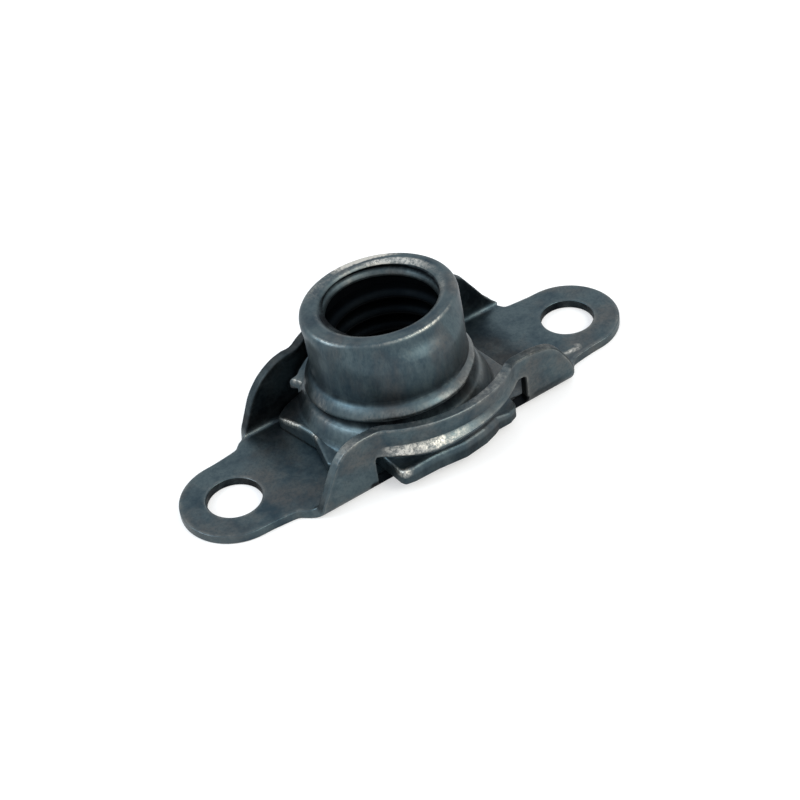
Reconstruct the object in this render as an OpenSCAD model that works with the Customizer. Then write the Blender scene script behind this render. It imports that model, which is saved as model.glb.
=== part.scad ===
// Floating rivet-on nut: a pressed sheet cage with two rivet lugs, and the
// threaded nut element that it holds captive with a little play.
// +X runs from lug to lug, +Z along the thread. The origin is midway between
// the rivet holes, on the face that lies against the panel.

/* [Sheet] */
// Thickness of the cage sheet
sheet_t = 0.62; // [0.5:0.02:0.7]
// Outer radius of the bend between floor and wall
bend_r = 0.95; // [0.8:0.05:1.2]
// Width over the two side walls
cage_w = 9.7; // [9.6:0.1:10.2]
// Height of the side walls from the panel
wall_h = 4.55; // [4.3:0.1:5.2]
// Length of a side wall at its foot
wall_foot_l = 18.8; // [18.4:0.1:19.2]
// Length of the level top of a side wall
wall_top_l = 13; // [12:0.1:13.4]
// Radius between a wall's level top and its sloped end
wall_corner_r = 1.9; // [1:0.1:2.2]

/* [Rivet lugs] */
// Distance between the rivet holes
rivet_pitch = 25.4; // [25:0.1:27]
// Diameter of a rivet hole
rivet_d = 3.4; // [2.6:0.1:3.6]
// Radius of a lug's round end
lug_r = 3.37; // [3:0.05:3.6]
// Width of a lug where it joins the cage
lug_neck_w = 7.2; // [7:0.1:7.6]
// Length of the neck between a lug and the end of a wall
neck_l = 1; // [0.8:0.05:1.1]
// Concave radius of the neck
neck_r = 1.6; // [1.2:0.1:3]
// Diameter of the bolt's clearance hole in the floor
floor_hole_d = 10.2; // [9:0.1:10.6]

/* [Wall windows] */
// Length of the window in each wall
window_l = 11.4; // [11:0.1:12]
// Height of the window's upper edge from the panel
window_top = 2.6; // [2.4:0.05:2.8]
// How far the band above a window bows outwards
band_bow = 1.7; // [1.6:0.05:1.9]
// Half the length of the bowed stretch
band_half_l = 4.83; // [4.6:0.05:5.1]
// How far the band's lower lip turns out
lip_out = 0.6; // [0.1:0.02:0.7]
// Height of the turned-out lip
lip_h = 0.45; // [0.3:0.05:0.6]

/* [Nut element] */
// Height of the nut element
nut_h = 8.2; // [7:0.05:9]
// Outer diameter of the barrel
barrel_d = 9.7; // [9.4:0.05:9.9]
// Rounding of the barrel's rim
rim_r = 0.35; // [0.2:0.05:0.6]
// Width of the rim across its two squeezed sides, which lock the thread
crimp_w = 8.6; // [8.3:0.05:9.4]
// Height of the squeezed stretch of the barrel
crimp_h = 1.7; // [1.2:0.1:3]
// Minor diameter of the thread
thread_minor_d = 6.8; // [6.6:0.05:6.9]
// Diameter of the lead-in at the bolt's end of the thread
lead_in_d = 8.3; // [8:0.1:8.6]
// Chamfer at the top of the thread
top_chamfer = 0.2; // [0.1:0.05:0.4]
// Outer diameter of the shoulder ring
shoulder_d = 10.86; // [10.6:0.02:10.9]
// Height of the shoulder ring's widest circle above the nut's base
shoulder_h = 2.9; // [2.7:0.05:3.1]
// Height above the base at which the shoulder's cone meets the barrel
shoulder_top = 3.95; // [3.6:0.05:4.2]
// Diameter of the groove under the shoulder ring
groove_d = 10.4; // [10:0.1:10.5]
// Height of the groove's lower edge above the base
groove_h = 2.1; // [1.9:0.05:2.3]
// Outer diameter of the collar at its foot
collar_d = 11.9; // [11.6:0.1:12.1]
// Thickness of the flange
flange_t = 1.2; // [1:0.05:1.4]
// Diameter of the flange's round sides
flange_d = 14.1; // [13.8:0.1:14.3]

/* [Flange ends and ears] */
// Width of an ear, along X
ear_w = 9; // [8.4:0.1:9.1]
// Distance between the square corners of the two ears, along Y
ear_corner_span = 12.4; // [12:0.1:12.6]
// Length of the flange at its pointed ends, along X
end_l = 13.5; // [13.2:0.1:14]
// Length of the flange between the two end notches
notch_l = 12.2; // [12:0.1:12.6]
// Width of a pointed end, along Y
end_w = 6.3; // [6:0.1:6.4]
// Thickness left at a corner of the flange's ends
end_corner_t = 0.65; // [0.3:0.05:0.8]
// Turn of a facet's upper edge from square
facet_turn = 31.5; // [25:0.5:35]

/* [Position in the cage] */
// Offset of the nut element along X
nut_x = -0.5; // [-0.6:0.1:0.6]
// Offset of the nut element along Y
nut_y = 0.35; // [-0.35:0.05:0.35]
// Turn of the nut element about its thread
nut_turn = 4.5; // [-4.5:0.5:4.5]
// Gap between the nut element's base and the cage floor
base_gap = 0.02; // [0.01:0.01:0.05]

/* [Hidden] */
$fn = 96;
eps = 0.05;
far = 40;
wall_y = cage_w/2;
inner_bend_r = bend_r - sheet_t;
lug_x = rivet_pitch/2;
wall_foot = wall_foot_l/2;
floor_half_w = wall_y - bend_r;
band_lap = 1;
lip_t = 0.8*sheet_t;
lip_root = 0.7*lip_h;
band_r = (band_half_l*band_half_l + band_bow*band_bow)/(2*band_bow);
band_centre_y = wall_y + band_bow - band_r;
band_angle = asin(band_half_l/band_r);
end_half_l = end_l/2;
notch_half_l = notch_l/2;
end_half_w = end_w/2;
end_bevel = 0.5;
corner_half_w = end_half_w - end_bevel;
corner_r = 0.6;
collar_round = 0.25;
shoulder_round = 0.15;
slot_corner_r = 0.35;
crimp_start_d = 1.01*barrel_d;

function arc(centre, r, from, to, steps) =
    [for (i = [0:steps]) let (a = from + (to - from)*i/steps) centre + r*[cos(a), sin(a)]];

// ---- cage ------------------------------------------------------------------

module mirrored_x() {
    children();
    mirror([1, 0, 0]) children();
}

module mirrored_y() {
    children();
    mirror([0, 1, 0]) children();
}

// Half of the U section, looking along X
module channel_section() {
    bend = [wall_y - bend_r, bend_r];
    polygon(concat(
        [[0, 0]],
        arc(bend, bend_r, -90, 0, 16),
        [[wall_y, wall_h], [wall_y - sheet_t, wall_h]],
        arc(bend, inner_bend_r, 0, -90, 10),
        [[0, sheet_t]]));
}

// Outline of a side wall, looking along Y: level top, round corners, sloped ends
// and a concave radius where each end runs out into its lug
module wall_outline() {
    corner = [wall_top_l/2, wall_h - wall_corner_r];
    reach = [wall_foot, bend_r] - corner;
    tangent = atan2(reach[1], reach[0]) + acos(wall_corner_r/norm(reach));
    polygon(concat(
        [[0, -eps], [wall_foot + neck_l, -eps], [wall_foot + neck_l, sheet_t],
         [wall_foot + neck_l/3, sheet_t + eps], [wall_foot, bend_r]],
        arc(corner, wall_corner_r, tangent, 90, 10),
        [[0, wall_h]]));
}

// One half of the cage's outline in plan, with the lug and its necks
module plan_outline() {
    half_w = lug_neck_w/2;
    half_angle = asin(neck_l/(sqrt(2)*neck_r));
    offset_45 = neck_l/2 + neck_r*cos(half_angle)/sqrt(2);
    neck_centre = [wall_foot + offset_45, half_w + offset_45];
    translate([lug_x, 0]) circle(r = lug_r);
    mirrored_y() polygon(concat(
        [[0, 0], [0, cage_w], [wall_foot, cage_w]],
        arc(neck_centre, neck_r, 225 - half_angle, 225 + half_angle, 8),
        [[lug_x, lug_r], [lug_x, 0]]));
}

module channel() {
    intersection() {
        mirrored_y() rotate([90, 0, 90])
            linear_extrude(height = far, center = true) channel_section();
        mirrored_x() rotate([90, 0, 0])
            linear_extrude(height = far, center = true) wall_outline();
        mirrored_x() linear_extrude(height = wall_h) plan_outline();
    }
}

module lug() {
    linear_extrude(height = sheet_t) intersection() {
        plan_outline();
        translate([0, -floor_half_w]) square([far, 2*floor_half_w]);
    }
}

// Section of the band above a window: upright, with its lower lip turned out.
// The band's ends run band_lap degrees into the straight wall.
module band_section() {
    face = band_r;
    polygon([[face - sheet_t, wall_h], [face, wall_h],
             [face, window_top + lip_h], [face + lip_out, window_top],
             [face + lip_out - lip_t, window_top],
             [face - sheet_t, window_top + lip_root]]);
}

module band() {
    half_angle = band_angle + band_lap;
    translate([0, band_centre_y, 0]) rotate([0, 0, 90 - half_angle])
        rotate_extrude(angle = 2*half_angle) band_section();
}

module window() {
    half = window_l/2;
    translate([0, wall_y, 0]) rotate([90, 0, 0])
        linear_extrude(height = 2*bend_r, center = true)
            polygon(concat([[-half, sheet_t], [half, sheet_t]],
                arc([half - slot_corner_r, window_top - slot_corner_r], slot_corner_r, 0, 90, 6),
                arc([slot_corner_r - half, window_top - slot_corner_r], slot_corner_r, 90, 180, 6)));
}

// The stretch of straight wall that the bowed band takes the place of
module bow_gap() {
    gap_half_l = (band_r - sheet_t)*sin(band_angle);
    translate([-gap_half_l, wall_y - bend_r, sheet_t])
        cube([2*gap_half_l, 2*bend_r, far]);
}

module cage() {
    color([0.36, 0.39, 0.41]) difference() {
        union() {
            difference() {
                channel();
                mirrored_y() bow_gap();
                mirrored_y() window();
            }
            mirrored_y() band();
            mirrored_x() lug();
        }
        mirrored_x() translate([lug_x, 0, -eps]) cylinder(d = rivet_d, h = sheet_t + 2*eps);
        translate([0, 0, -eps]) cylinder(d = floor_hole_d, h = sheet_t + 2*eps);
    }
}

// ---- nut element -----------------------------------------------------------

// A quarter of the flange in plan: round side, square ear corner, notched end
module flange_quarter() {
    ear_x = ear_w/2;
    ear_y = ear_corner_span/2;
    intersection() {
        circle(d = flange_d);
        square([ear_x, far]);
    }
    polygon(concat([[0, 0], [ear_x, 0]],
        arc([ear_x - corner_r, ear_y - corner_r], corner_r, 0, 90, 8),
        [[0, ear_y]]));
    polygon([[0, 0], [notch_half_l, 0], [end_half_l, corner_half_w],
             [end_half_l - end_bevel, end_half_w], [0, end_half_w]]);
}

// Everything above the sloped facet on one corner of the flange's end
module facet_cut() {
    drop = flange_t - end_corner_t;
    reach = (end_half_l - notch_half_l)*cos(facet_turn) + corner_half_w*sin(facet_turn);
    translate([notch_half_l, 0, flange_t]) rotate([0, 0, facet_turn])
        rotate([0, atan2(drop, reach), 0]) translate([0, -far/2, 0])
            cube([far, far, far]);
}

module flange() {
    difference() {
        linear_extrude(height = flange_t) mirrored_x() mirrored_y() flange_quarter();
        mirrored_x() mirrored_y() intersection() {
            facet_cut();
            cube([far, end_half_w + eps, far]);
        }
    }
}

// Collar, groove, shoulder ring and barrel, turned in one piece
module turned_body() {
    collar_top = groove_h - collar_round;
    groove_top = shoulder_h - 2*shoulder_round;
    rotate_extrude() polygon(concat(
        [[0, 0], [collar_d/2, 0], [collar_d/2, flange_t],
         [shoulder_d/2, collar_top], [groove_d/2, groove_h], [groove_d/2, groove_top],
         [shoulder_d/2 - shoulder_round, shoulder_h - shoulder_round],
         [shoulder_d/2, shoulder_h], [barrel_d/2, shoulder_top]],
        arc([barrel_d/2 - rim_r, nut_h - rim_r], rim_r, 0, 90, 6),
        [[0, nut_h]]));
}

// What the barrel's round end keeps when its two sides are squeezed to an oval
module crimp_envelope() {
    cylinder(d = far, h = nut_h - crimp_h);
    translate([0, 0, nut_h - crimp_h - eps])
        linear_extrude(height = crimp_h + eps, scale = [1, crimp_w/crimp_start_d], slices = 1)
            circle(d = crimp_start_d);
}

module nut_element() {
    lead_in = (lead_in_d - thread_minor_d)/2;
    color([0.33, 0.37, 0.40]) translate([nut_x, nut_y, sheet_t + base_gap])
        rotate([0, 0, nut_turn]) difference() {
            union() {
                flange();
                intersection() {
                    turned_body();
                    crimp_envelope();
                }
            }
            translate([0, 0, -eps]) cylinder(d = thread_minor_d, h = nut_h + 2*eps);
            translate([0, 0, -eps])
                cylinder(d1 = lead_in_d + 2*eps, d2 = thread_minor_d, h = lead_in + eps);
            translate([0, 0, nut_h - top_chamfer])
                cylinder(d1 = thread_minor_d, d2 = thread_minor_d + 2*top_chamfer + 2*eps,
                         h = top_chamfer + eps);
        }
}

cage();
nut_element();
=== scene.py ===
"""Floating rivet-on nut: the visual pieces, their finishes and the studio around them."""

import math

import bpy
import numpy as np
from bpy.props import FloatProperty, FloatVectorProperty, PointerProperty
from mathutils import Matrix, Vector
from mathutils.geometry import delaunay_2d_cdt


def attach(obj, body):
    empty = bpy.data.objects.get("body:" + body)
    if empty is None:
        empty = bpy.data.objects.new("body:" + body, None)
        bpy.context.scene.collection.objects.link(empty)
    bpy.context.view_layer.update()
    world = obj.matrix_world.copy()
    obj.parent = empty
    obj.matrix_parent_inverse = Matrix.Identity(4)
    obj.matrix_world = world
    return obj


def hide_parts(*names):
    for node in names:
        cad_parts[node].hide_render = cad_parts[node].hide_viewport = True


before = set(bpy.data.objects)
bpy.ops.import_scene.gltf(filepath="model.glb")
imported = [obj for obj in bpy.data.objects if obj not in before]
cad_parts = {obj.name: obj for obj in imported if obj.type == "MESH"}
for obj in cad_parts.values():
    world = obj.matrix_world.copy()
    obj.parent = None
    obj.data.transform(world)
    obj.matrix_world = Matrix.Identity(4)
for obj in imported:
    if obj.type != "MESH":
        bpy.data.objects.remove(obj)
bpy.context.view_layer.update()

bl_info = {
    "name": "Floating rivet-on nut",
    "version": (1, 0, 0),
    "blender": (4, 5, 0),
    "location": "View3D > Sidebar > Rivet Nut",
    "description": "Builds a floating rivet-on nut: sheet cage, nut element, thread and studio",
    "category": "Object",
}

MM = 0.001


# ---- sizes a user may change ------------------------------------------------


class CageSizes(bpy.types.PropertyGroup):
    """Sizes of the pressed sheet cage, in millimetres"""

    sheet: FloatProperty(name="Sheet", description="Thickness of the sheet, mm", default=0.62)
    bend_radius: FloatProperty(name="Bend", description="Outer radius of the bends, mm", default=0.95)
    half_width: FloatProperty(name="Half width", description="Half the width over walls, mm", default=4.85)
    rivet_pitch: FloatProperty(name="Rivet pitch", description="Between the rivet holes, mm", default=25.4)
    rivet_hole: FloatProperty(name="Rivet hole", description="Diameter of a rivet hole, mm", default=3.4)
    lug_radius: FloatProperty(name="Lug end", description="Radius of a lug's round end, mm", default=3.37)
    screw_hole: FloatProperty(name="Screw hole", description="Diameter of the floor's hole, mm", default=10.2)
    window_top: FloatProperty(name="Window top", description="Height of the near window, mm", default=2.6)
    bow_radius: FloatProperty(name="Bow radius", description="Outer radius of the bow, mm", default=7.71)
    bow_centre: FloatProperty(name="Bow centre", description="Place of the bow's centre, mm", default=-1.16)
    lip_out: FloatProperty(name="Lip", description="How far the band's lower lip turns out, mm", default=0.6)
    lip_height: FloatProperty(name="Lip height", description="Height of the turned lip, mm", default=0.6)
    far_rise: FloatProperty(name="Far rise", description="How much higher the far side is, mm", default=0.45)
    edge_radius: FloatProperty(name="Edge", description="Rounding of the sheet's cut edges, mm", default=0.1)


class NutSizes(bpy.types.PropertyGroup):
    """Sizes of the nut element, in millimetres"""

    centre: FloatVectorProperty(
        name="Centre", description="Axis of the thread, mm", size=2, default=(-0.5, 0.35))
    base: FloatProperty(name="Base", description="Height of the nut's base, mm", default=0.64)
    height: FloatProperty(name="Height", description="Height of the nut element, mm", default=8.2)
    barrel: FloatProperty(name="Barrel", description="Radius of the barrel, mm", default=4.85)
    mouth: FloatProperty(name="Mouth", description="Radius of the bore at the rim, mm", default=3.5)
    thread_root: FloatProperty(name="Thread root", description="Radius at the root, mm", default=4.02)
    thread_crest: FloatProperty(name="Thread crest", description="Radius at the crest, mm", default=3.4)
    thread_pitch: FloatProperty(name="Pitch", description="Pitch of the thread, mm", default=1.25)
    thread_turns: FloatProperty(name="Turns", description="Turns of the thread", default=4.7)
    flange: FloatProperty(name="Flange", description="Thickness of the flange, mm", default=1.2)


class FinishColours(bpy.types.PropertyGroup):
    """Colours of the phosphated steel"""

    base: FloatVectorProperty(
        name="Steel", description="The coated steel", subtype="COLOR", default=(0.086, 0.117, 0.127))
    dark: FloatVectorProperty(
        name="Dark", description="The darker patches", subtype="COLOR", default=(0.036, 0.058, 0.073))
    warm: FloatVectorProperty(
        name="Warm", description="The brownish patches", subtype="COLOR", default=(0.132, 0.126, 0.117))
    # Colour of the rubbed edges, and also of the painted highlights and glints on the lip, the rim, the ears
    # and the pressed line
    worn_and_glint: FloatVectorProperty(
        name="Worn and glint", description="The rubbed edges", subtype="COLOR", default=(0.62, 0.60, 0.54))


class StudioSizes(bpy.types.PropertyGroup):
    """Light and camera of the studio"""

    key_power: FloatProperty(name="Key", description="Power of the main lamp, W", default=0.45)
    fill_power: FloatProperty(name="Fill", description="Power of the fill lamp, W", default=0.4)
    lens: FloatProperty(name="Lens", description="Focal length of the camera", default=88.71, unit="CAMERA")


# ---- curves and meshes ------------------------------------------------------


def smooth_max(a, b, width):
    """The larger of a and b, with a rounded step of that width where they cross."""
    h = np.clip(0.5 + 0.5 * (a - b) / width, 0, 1)
    return b * (1 - h) + a * h + width * h * (1 - h)


def smooth_step(start, end, value):
    """0 at start and 1 at end, eased at both; start may be the larger of the two."""
    t = np.clip((value - start) / (end - start), 0, 1)
    return t * t * (3 - 2 * t)


def unit(v):
    """Vectors scaled to a length of 1."""
    return v / np.maximum(np.linalg.norm(v, axis=-1, keepdims=True), 1e-12)


def arc(centre, radius, start, end, count):
    """Points on an arc, with its angles in degrees."""
    angles = np.radians(np.linspace(start, end, count))
    return np.column_stack([centre[0] + radius * np.cos(angles), centre[1] + radius * np.sin(angles)])


def circle(centre, radius, count):
    """Points round a circle, the first not repeated."""
    return arc(centre, radius, 0, 360, count + 1)[:-1]


def spline(points, per_span):
    """A smooth open curve through the given points."""
    points = np.asarray(points, dtype=float)
    last = len(points) - 1
    out = []
    for i in range(last):
        p0, p1, p2, p3 = (points[min(max(i + k, 0), last)] for k in (-1, 0, 1, 2))
        for t in np.linspace(0, 1, per_span, endpoint=False):
            out.append(0.5 * (2 * p1 + (p2 - p0) * t + (2 * p0 - 5 * p1 + 4 * p2 - p3) * t * t
                              + (3 * p1 - p0 - 3 * p2 + p3) * t ** 3))
    return np.array(out + [points[-1]])


def resample(loop, step):
    """Points every step along a closed loop, keeping its shape."""
    closed = np.vstack([loop, loop[:1]])
    lengths = np.r_[0, np.cumsum(np.linalg.norm(np.diff(closed, axis=0), axis=1))]
    at = np.linspace(0, lengths[-1], int(round(lengths[-1] / step)), endpoint=False)
    return np.column_stack([np.interp(at, lengths, closed[:, k]) for k in range(2)])


def round_corners(corners, per_corner=6):
    """A closed polygon with each (x, y, radius) corner rounded."""
    out = []
    places = np.array(corners)[:, :2]
    for i, (before, p, after) in enumerate(zip(np.roll(places, 1, 0), places, np.roll(places, -1, 0))):
        a, b = unit(before - p), unit(after - p)
        half = math.acos(np.clip(np.dot(a, b), -1, 1)) / 2
        cut = corners[i][2] / max(math.tan(half), 0.05)
        cut = min(cut, 0.45 * np.linalg.norm(before - p), 0.45 * np.linalg.norm(after - p))
        start, end = p + a * cut, p + b * cut
        for t in np.linspace(0, 1, per_corner):
            out.append((1 - t) ** 2 * start + 2 * t * (1 - t) * p + t * t * end)
    return np.array(out)


def signed_area(loop):
    """Area inside a closed loop, below zero where it runs clockwise."""
    return 0.5 * np.sum(loop[:, 0] * np.roll(loop[:, 1], -1) - np.roll(loop[:, 0], -1) * loop[:, 1])


def inside(loop, points):
    """Which points lie inside a closed loop."""
    x, y = points.T
    result = np.zeros(len(points), dtype=bool)
    for (ax, ay), (bx, by) in zip(loop, np.roll(loop, -1, 0)):
        if ay != by:
            crosses = (ay > y) != (by > y)
            result ^= crosses & (x < (bx - ax) * (y - ay) / (by - ay) + ax)
    return result


def on_sheet(loops, points):
    """Which points lie inside the first loop, the outline, and outside the others, the holes."""
    keep = inside(loops[0], points)
    for hole in loops[1:]:
        keep &= ~inside(hole, points)
    return keep


def nearest(points, targets):
    """Distance from each point to the nearest target, worked out in blocks to spare memory."""
    blocks = np.array_split(targets, 8)
    return np.min([np.linalg.norm(points[:, None] - block, axis=2).min(axis=1) for block in blocks], axis=0)


def bridge(rows, flip):
    """Quads between each closed row of point numbers and the next."""
    quads = []
    for low, high in zip(rows[:-1], rows[1:]):
        for i in range(len(low)):
            j = (i + 1) % len(low)
            quad = (low[i], low[j], high[j], high[i])
            quads.append(quad[::-1] if flip else quad)
    return quads


def area_normals(mesh):
    """Point normals weighted by face area, so that large flat faces stay flat."""
    mesh.calc_loop_triangles()
    corners = np.empty(len(mesh.loop_triangles) * 3, dtype=np.int64)
    mesh.loop_triangles.foreach_get("vertices", corners)
    corners = corners.reshape(-1, 3)
    points = np.empty(len(mesh.vertices) * 3)
    mesh.vertices.foreach_get("co", points)
    points = points.reshape(-1, 3)
    a, b, c = (points[corners[:, k]] for k in range(3))
    cross = np.cross(b - a, c - a)
    total = np.zeros_like(points)
    for k in range(3):
        np.add.at(total, corners[:, k], cross)
    return unit(total)


def make_piece(name, points, faces, material, fields, normals=None):
    """A mesh object from points in millimetres, with its wear and painted glints, and its painted shade, kept
    as point attributes.
    """
    mesh = bpy.data.meshes.new(name)
    mesh.from_pydata((points * MM).tolist(), [], faces)
    mesh.validate()
    mesh.polygons.foreach_set("use_smooth", [True] * len(mesh.polygons))
    for label, values in fields.items():
        layer = mesh.attributes.new(label, "FLOAT", "POINT")
        layer.data.foreach_set("value", values.astype(np.float32))
    mesh.materials.append(material)
    piece = bpy.data.objects.new(name, mesh)
    bpy.context.scene.collection.objects.link(piece)
    if normals is None:
        normals = area_normals(mesh)
    mesh.normals_split_custom_set_from_vertices(normals.tolist())
    mesh.update()
    return piece


# ---- the cage ---------------------------------------------------------------

# The bowed band over a window and its turned lip, in millimetres from the wall's middle and from the panel
BOW_BLEND = 0.35  # rounding where the bow leaves the flat wall
BOW_ENDS = (5.75, 5.2)  # where the bow fades out along the wall
BOW_RISE = (1.6, 2.3)  # heights over which it comes in
LIP_ENDS = (5.4, 4.4)  # where the lip fades out along the wall
LIP_EASE = 0.45  # share of its reach that the lip loses towards the right
LIP_EASE_RUN = (0.0, 4.0)  # where it loses that
LIP_CURVE = 1.4  # power of the lip's curve
SLOPE_STEP = 1e-3  # step between the points that a slope is measured from


class Pressing:
    """Maps the cage's flat blank to its bent shape: x along the cage, s across the sheet."""

    def __init__(self, sizes):
        self.sizes = sizes
        self.mid_radius = sizes.bend_radius - sizes.sheet / 2
        self.flat = sizes.half_width - sizes.bend_radius
        self.wall_start = self.flat + self.mid_radius * math.pi / 2

    def height_to_s(self, z):
        """Place across the blank of a point at height z on a wall."""
        return self.wall_start + z - self.sizes.bend_radius

    def width_to_s(self, y):
        """Place across the blank of a point whose outer face stands y from the middle."""
        if y <= self.flat:
            return y
        return self.flat + self.mid_radius * math.asin(min(1, (y - self.flat) / self.sizes.bend_radius))

    def middle(self, x, s):
        """Point on the middle of the sheet."""
        sizes = self.sizes
        side = np.sign(s)
        a = np.abs(s)
        angle = np.clip((a - self.flat) / self.mid_radius, 0, math.pi / 2)
        y = np.minimum(a, self.flat) + self.mid_radius * np.sin(angle)
        z = sizes.bend_radius - self.mid_radius * np.cos(angle) + np.maximum(0, a - self.wall_start)
        reach = np.sqrt(np.maximum(sizes.bow_radius ** 2 - x ** 2, 0.01)) + sizes.bow_centre
        bow = smooth_max(reach - sizes.half_width, np.zeros_like(x), BOW_BLEND)
        bow = bow * smooth_step(*BOW_ENDS, np.abs(x))
        window_top = sizes.window_top + sizes.far_rise * (side > 0)
        lip = np.clip((window_top + sizes.lip_height - z) / sizes.lip_height, 0, 1)
        lip_reach = sizes.lip_out * smooth_step(*LIP_ENDS, np.abs(x))
        lip_reach = lip_reach * (1 - LIP_EASE * smooth_step(*LIP_EASE_RUN, x))
        out = smooth_step(*BOW_RISE, z) * (bow + lip_reach * lip ** LIP_CURVE)
        return np.stack([x, side * (y + out), z], -1)

    def outer_normal(self, x, s):
        """Normal of the sheet, towards the panel and away from the nut."""
        along = self.middle(x + SLOPE_STEP, s) - self.middle(x - SLOPE_STEP, s)
        across = self.middle(x, s + SLOPE_STEP) - self.middle(x, s - SLOPE_STEP)
        return unit(np.cross(across, along))

    def tangent(self, x, s, direction):
        """Unit vector in the sheet that follows a direction on the blank."""
        dx, ds = SLOPE_STEP * direction.T
        return unit(self.middle(x + dx, s + ds) - self.middle(x - dx, s - ds))


LUG_SWEEP = 88  # degrees of a lug's round end, from its tip
# Where a lug runs on from its round end: place along, and how much wider than the end's radius
LUG_SHOULDER = ((12.1, 0.02), (11.3, 0.1))
# The neck between a lug and a wall: place along and half width
NECK = ((10.5, 3.58), (10.25, 3.75), (10.0, 4.02), (9.68, 4.36), (9.46, 4.62))
TOP_START, TOP_CORNER = 5.6, 6.3  # where a wall's level top starts, and its eased corner

# A wall end: its outline as place along and height, and the height of the level top that it runs into.
# Toe draws its foot out along the lug, and ease lowers the corner of the top.
NEAR_RIGHT = {
    "rise": ((9.5, 0.9), (9.45, 1.3), (9.2, 1.95), (8.85, 2.55),
             (8.45, 3.15), (8.0, 3.6), (7.5, 3.86), (6.9, 4.0)),
    "top": 4.1}
NEAR_LEFT = {
    "rise": ((9.38, 0.9), (9.15, 1.4), (8.85, 2.0), (8.55, 2.65),
             (8.2, 3.3), (7.85, 3.8), (7.4, 4.2), (6.9, 4.43)),
    "top": 4.55}
FAR_RIGHT = {
    "rise": ((9.95, 0.9), (9.5, 1.4), (9.08, 2.0), (8.65, 2.65),
             (8.2, 3.3), (7.85, 3.8), (7.4, 4.2), (6.9, 4.43)),
    "top": 4.5, "toe": 0.75}
FAR_LEFT = {
    "rise": ((9.25, 0.9), (9.02, 1.45), (8.72, 2.2), (8.45, 2.85),
             (8.12, 3.4), (7.65, 3.97), (7.3, 4.28), (6.9, 4.56)),
    "top": 5.03, "ease": 0.17}

WINDOW_FOOT = 4.65  # half width at a window's lower edge, which lies in the bend
WINDOW_CORNER = 0.2  # rounding of a window's corners
NEAR_WINDOW, FAR_WINDOW = (-5.4, 5.75), (-5.6, 5.8)  # left and right end of each window
FAR_SLANT = (0.65, 1.0, -5.15)  # the far window's slanted corner: its two drops, and the left end below it
SAG = (0.1, -2.6, 1.7)  # sag of the near window's upper edge: depth, place and reach
SAG_RUN = (4.6, -4.8)  # right and left end of the sagging edge
OUTLINE_STEP, HOLE_STEP = 0.16, 0.14  # steps between the points of the outline and of the holes


def wall_outline(press, rise, top, toe=0.0, ease=0.0):
    """Quarter of the blank's outline, from a lug's tip to the middle of a wall."""
    sizes = press.sizes
    lug = arc((sizes.rivet_pitch / 2, 0), sizes.lug_radius, 0, LUG_SWEEP, 26)
    lug = np.vstack([lug, [(x, sizes.lug_radius + extra) for x, extra in LUG_SHOULDER]])
    neck = [(x + toe * (k / 4) ** 2, press.width_to_s(y)) for k, (x, y) in enumerate(NECK)]
    up = [(x, press.height_to_s(z)) for x, z in rise]
    level = [(TOP_CORNER, press.height_to_s(top - ease)), (TOP_START, press.height_to_s(top))]
    return np.vstack([lug[:-1], spline(np.vstack([lug[-1:], neck, up, level]), 6)])


def cage_windows(press):
    """The windows on the flat blank: the near one's upper edge sags, and the far one's left end slants."""
    foot = press.width_to_s(WINDOW_FOOT)
    near = press.height_to_s(press.sizes.window_top)
    far = near + press.sizes.far_rise
    depth, place, reach = SAG
    sag = [(x, near - depth * math.exp(-((x - place) / reach) ** 2)) for x in np.linspace(*SAG_RUN, 20)]
    left, right = NEAR_WINDOW
    near_window = [(right, near), *sag, (left, near), (left, foot), (right, foot)]
    left, right = FAR_WINDOW
    first_drop, second_drop, low_left = FAR_SLANT
    far_window = [(right, far), (left, far), (left, far - first_drop), (low_left, far - second_drop),
                  (low_left, foot), (right, foot)]
    return [round_corners([(x, s, WINDOW_CORNER) for x, s in corners]) * (1, side)
            for side, corners in ((-1, near_window), (1, far_window))]


def cage_blank(press):
    """The flat blank's loops: its outline, the screw's hole, the rivet holes and the windows."""
    sizes = press.sizes
    near_right = wall_outline(press, **NEAR_RIGHT) * (1, -1)
    near_left = wall_outline(press, **NEAR_LEFT) * (-1, -1)
    far_right = wall_outline(press, **FAR_RIGHT)
    far_left = wall_outline(press, **FAR_LEFT) * (-1, 1)
    outline = np.vstack([far_right[1:], far_left[::-1][:-1], near_left[:-1], near_right[::-1]])
    lug_x = sizes.rivet_pitch / 2
    holes = [circle((0, 0), sizes.screw_hole / 2, 160)]
    holes += [circle((side * lug_x, 0), sizes.rivet_hole / 2, 80) for side in (-1, 1)]
    holes += cage_windows(press)
    return [resample(outline, OUTLINE_STEP)] + [resample(hole, HOLE_STEP) for hole in holes]


RING_INSETS = (0.08, 0.2)  # rings of points just inside the edge rounding, so that it stays crisp
GRID_GAP = 0.09  # room between the last ring and the grid
GRID_STEP, GRID_BEND, GRID_WALL = 0.24, 0.1, 0.18  # steps of the grid on the floor, over a bend and up a wall
GRID_END, GRID_WALL_END = 16.2, 4  # how far the grid reaches along the cage, and up a wall
EDGE_STEPS = 4  # steps in each half of the edge rounding
EDGE_WEAR, EDGE_WEAR_REACH = 0.2, 0.12  # rubbing beside the cut edges, and how far in it fades
LEDGE_END, LEDGE_TOP = 5.4, 1.2  # the ledge under a window, which stays level with the floor


def blank_grid(press, loops, margin):
    """Grid points on the flat blank, closer together over the bends and clear of every edge."""
    along = np.arange(-GRID_END, GRID_END + 0.1, GRID_STEP)
    across = np.r_[np.arange(0, press.flat, GRID_STEP), np.arange(press.flat, press.wall_start, GRID_BEND),
                   np.arange(press.wall_start, press.wall_start + GRID_WALL_END, GRID_WALL)]
    across = np.unique(np.round(across, 4))
    across = np.r_[-across[::-1], across[1:]]
    grid = np.array([(x, s) for x in along for s in across])
    grid = grid[on_sheet(loops, grid)]
    return grid[nearest(grid, np.vstack(loops)) > margin]


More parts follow.
